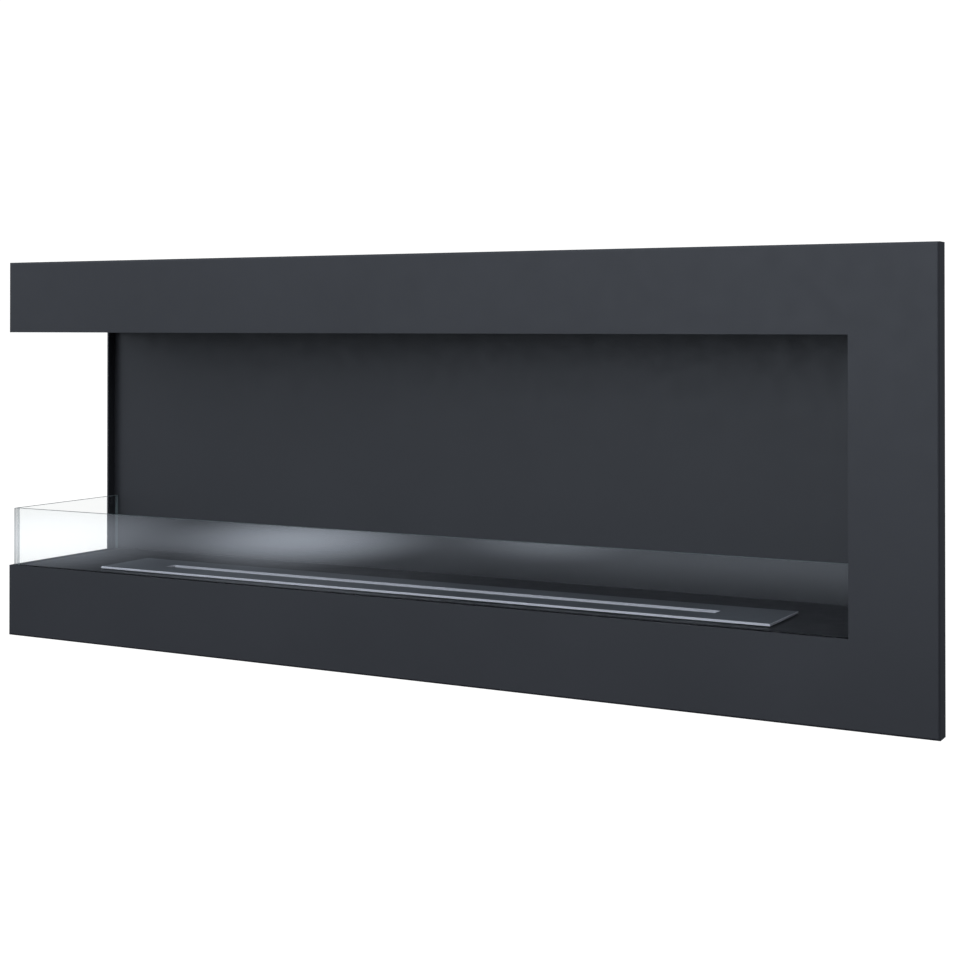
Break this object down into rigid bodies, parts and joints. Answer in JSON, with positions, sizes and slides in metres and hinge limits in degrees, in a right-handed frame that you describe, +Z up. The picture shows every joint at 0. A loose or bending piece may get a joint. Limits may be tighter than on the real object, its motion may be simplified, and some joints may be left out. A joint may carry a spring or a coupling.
{
  "type": "bioethanol fireplace",
  "caption": "Wall-hung steel burner fireplace, open at the front and left corner, with low glass screens, a lift-out slotted fuel burner and a hook-on wall rail.",
  "frame": {"origin": "middle of the wall rail bolt holes, on the wall plane behind the fireplace", "axes": "+X along the face, from its open left corner to its right jamb; +Y into the wall; +Z up"},
  "size_m": [1, 0.2, 0.4],
  "materials": {
    "face_coat": "satin anthracite powder coat",
    "lining_coat": "matt heat-resistant anthracite coat",
    "channel_steel": "black coated steel",
    "galvanised": "galvanised sheet",
    "zinc_plate": "bright zinc plate",
    "stainless": "brushed stainless",
    "burner_stainless": "dark satin top with bright cut edges",
    "clear_glass": "clear toughened glass, polished edges",
    "silicone": "heat-resistant black silicone",
    "rubber_black": "matt black rubber",
    "ceramic_wool": "off-white ceramic fibre",
    "insulation_board": "mineral fibre board"
  },
  "bodies": {
    "casing": {"front_frame": "face_coat", "side_cover": "face_coat", "face_clips": "face_coat", "face_screws": "zinc_plate", "cover_nuts": "zinc_plate", "top_panel": "galvanised", "bottom_panel": "galvanised", "right_panel": "galvanised", "back_panel": "galvanised", "rear_upright": "galvanised", "casing_rivets": "zinc_plate", "firebox_back": "lining_coat", "firebox_ceiling": "lining_coat", "firebox_right_wall": "lining_coat", "firebox_floor": "lining_coat", "ceiling_hangers": "galvanised", "front_floor_brackets": "galvanised", "rear_floor_rail": "galvanised", "lining_rivets": "zinc_plate", "support_rivets": "zinc_plate", "rear_insulation": "insulation_board", "ceiling_insulation": "insulation_board", "right_insulation": "insulation_board", "front_glass_channel": "channel_steel", "side_glass_channel": "channel_steel", "front_glass_seal": "silicone", "side_glass_seal": "silicone", "spill_tray": "stainless", "wall_bracket": "zinc_plate", "hanger_rail": "zinc_plate", "hanger_screws": "zinc_plate", "hanger_nuts": "zinc_plate", "lower_spacers": "rubber_black"},
    "burner": {"burner_lid": "burner_stainless", "burner_tank": "stainless", "ceramic_wool": "ceramic_wool", "burner_grille": "stainless", "shutter_guides": "stainless"},
    "shutter": {"shutter": "burner_stainless"},
    "front_glass": {"front_glass": "clear_glass"},
    "side_glass": {"side_glass": "clear_glass"}
  },
  "joints": [
    {"name": "burner_lift", "type": "slide", "parent": "casing", "child": "burner", "axis": [0, 0, 1], "range_m": [0, 0.15]},
    {"name": "shutter_slide", "type": "slide", "parent": "burner", "child": "shutter", "axis": [0, -1, 0], "range_m": [0, 0.012]},
    {"name": "front_glass_lift", "type": "slide", "parent": "casing", "child": "front_glass", "axis": [0, 0, 1], "range_m": [0, 0.12]},
    {"name": "side_glass_lift", "type": "slide", "parent": "casing", "child": "side_glass", "axis": [0, 0, 1], "range_m": [0, 0.12]}
  ]
}
